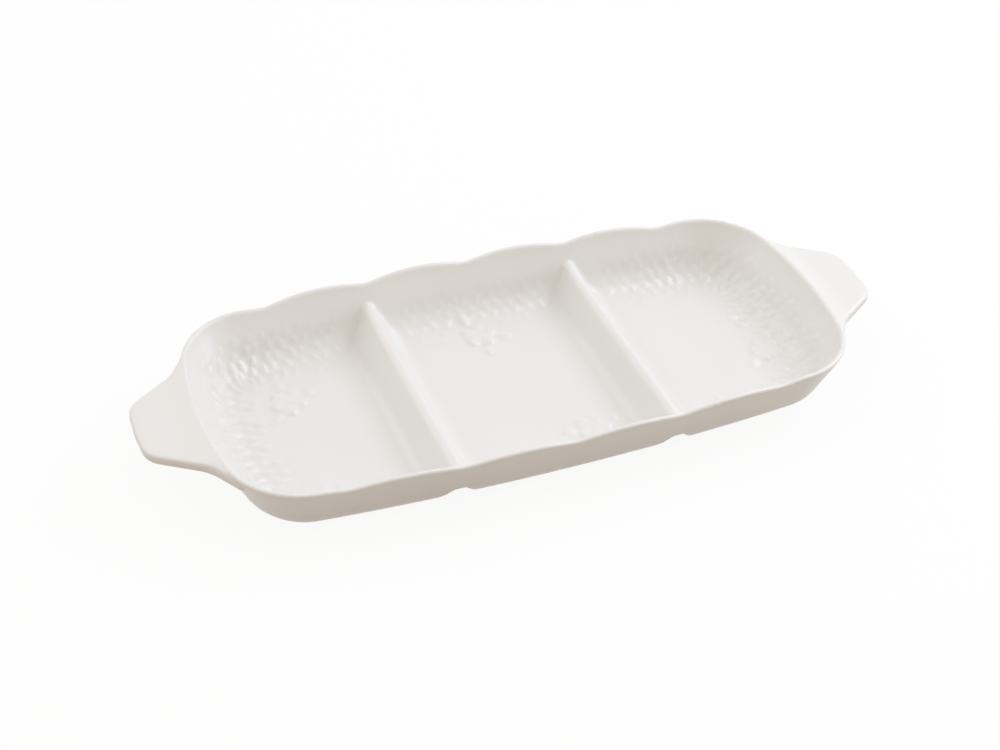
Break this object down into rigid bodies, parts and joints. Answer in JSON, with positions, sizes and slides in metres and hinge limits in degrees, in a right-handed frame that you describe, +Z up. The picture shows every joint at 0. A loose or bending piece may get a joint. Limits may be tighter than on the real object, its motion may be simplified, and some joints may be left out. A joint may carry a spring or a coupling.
{
  "type": "divided serving bowl",
  "caption": "Long shallow glazed serving bowl parted into open bays by hollow saddle dividers, with a scalloped rim, a flat handle at each end and low foot rings.",
  "frame": {"origin": "middle of the footprint, on the surface that the foot rings stand on", "axes": "+X along the dish through both handles, +Y across it, +Z up out of the bays"},
  "size_m": [0.36, 0.1444, 0.033],
  "materials": {
    "white_glaze": "glossy warm white glaze over a low relief",
    "bare_clay": "unglazed fired clay, wiped smooth"
  },
  "bodies": {
    "root": {"tray_shell": "white_glaze", "left_divider": "white_glaze", "right_divider": "white_glaze", "left_handle": "white_glaze", "right_handle": "white_glaze", "left_foot_ring": "bare_clay", "middle_foot_ring": "bare_clay", "right_foot_ring": "bare_clay"}
  },
  "joints": []
}
